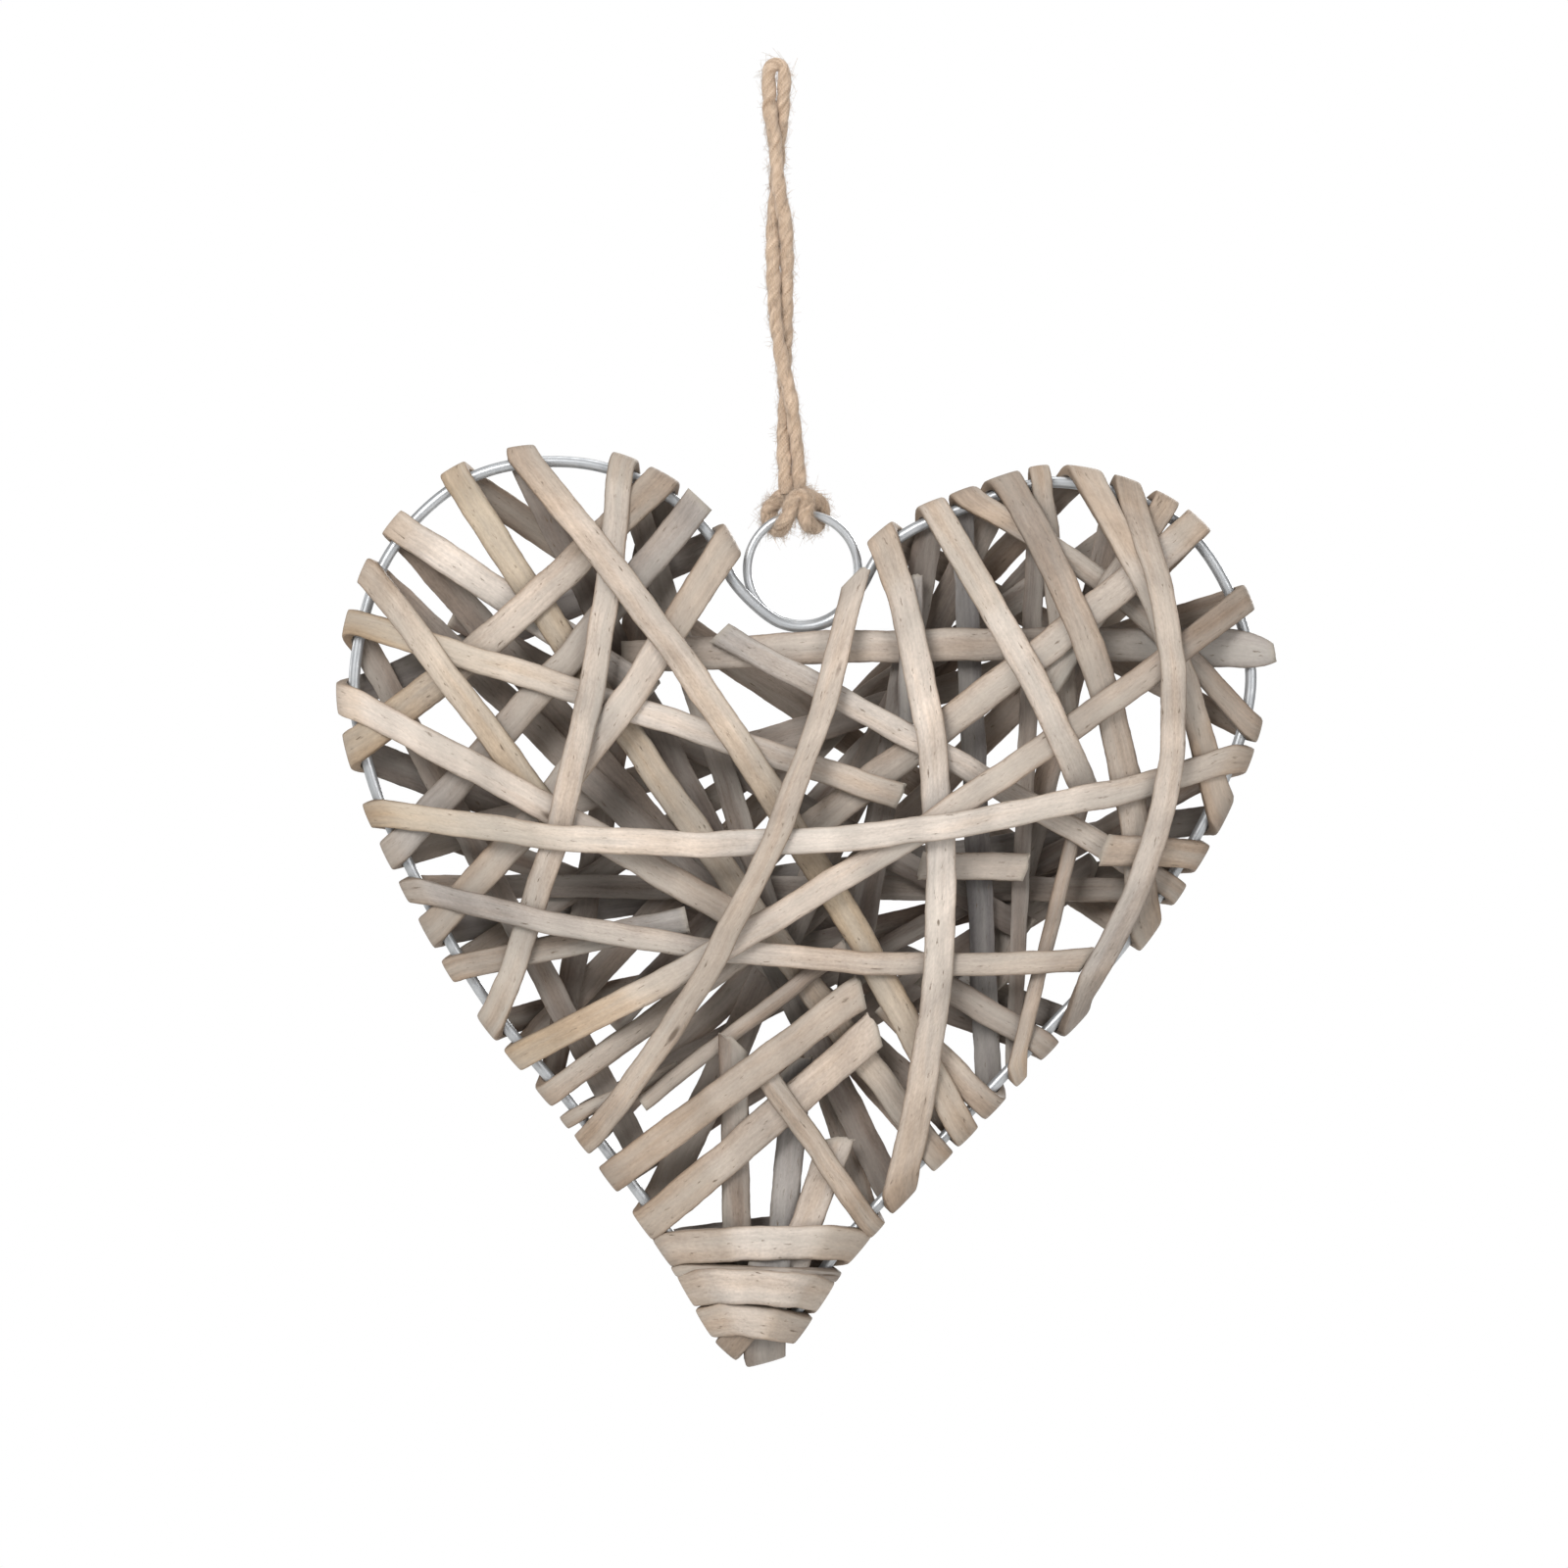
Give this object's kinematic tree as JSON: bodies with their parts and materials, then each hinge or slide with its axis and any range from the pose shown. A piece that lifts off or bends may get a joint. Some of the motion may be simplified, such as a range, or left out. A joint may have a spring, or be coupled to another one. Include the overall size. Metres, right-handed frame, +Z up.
{
  "type": "wicker heart",
  "caption": "Hanging wicker heart: split willow strips wound round a heart of bent wire, hung from a steel ring by a loop of jute twine.",
  "frame": {"origin": "top of the twine loop, where it bears on a hook", "axes": "+X to the right as the front is seen, +Z up, and the front faces -Y, with the wire heart in the plane Y = 0"},
  "size_m": [0.199, 0.0385, 0.2759],
  "materials": {
    "galvanised_wire": "satin galvanised",
    "ring_steel": "satin",
    "jute": "rough twisted fibre",
    "willow_sand": "matte, grey washed",
    "willow_tan": "matte, grey washed",
    "willow_pale": "matte, grey washed",
    "willow_grey": "matte, grey washed"
  },
  "bodies": {
    "root": {"wire_heart": "galvanised_wire", "hanging_ring": "ring_steel", "jute_loop": "jute", "jute_hitch": "jute", "willow_strip_01": "willow_sand", "willow_strip_02": "willow_tan", "willow_strip_03": "willow_pale", "willow_strip_04": "willow_grey", "willow_strip_05": "willow_sand", "willow_strip_06": "willow_tan", "willow_strip_07": "willow_pale", "willow_strip_08": "willow_grey", "willow_strip_09": "willow_sand", "willow_strip_10": "willow_tan", "willow_strip_11": "willow_pale", "willow_strip_12": "willow_grey", "willow_strip_13": "willow_sand", "willow_strip_14": "willow_tan", "willow_strip_15": "willow_pale", "willow_strip_16": "willow_grey", "willow_strip_17": "willow_sand", "willow_strip_18": "willow_tan", "willow_strip_19": "willow_pale", "willow_strip_20": "willow_grey", "willow_strip_21": "willow_sand", "willow_strip_22": "willow_tan", "willow_strip_23": "willow_pale", "willow_strip_24": "willow_grey", "willow_strip_25": "willow_sand", "willow_strip_26": "willow_tan"}
  },
  "joints": []
}
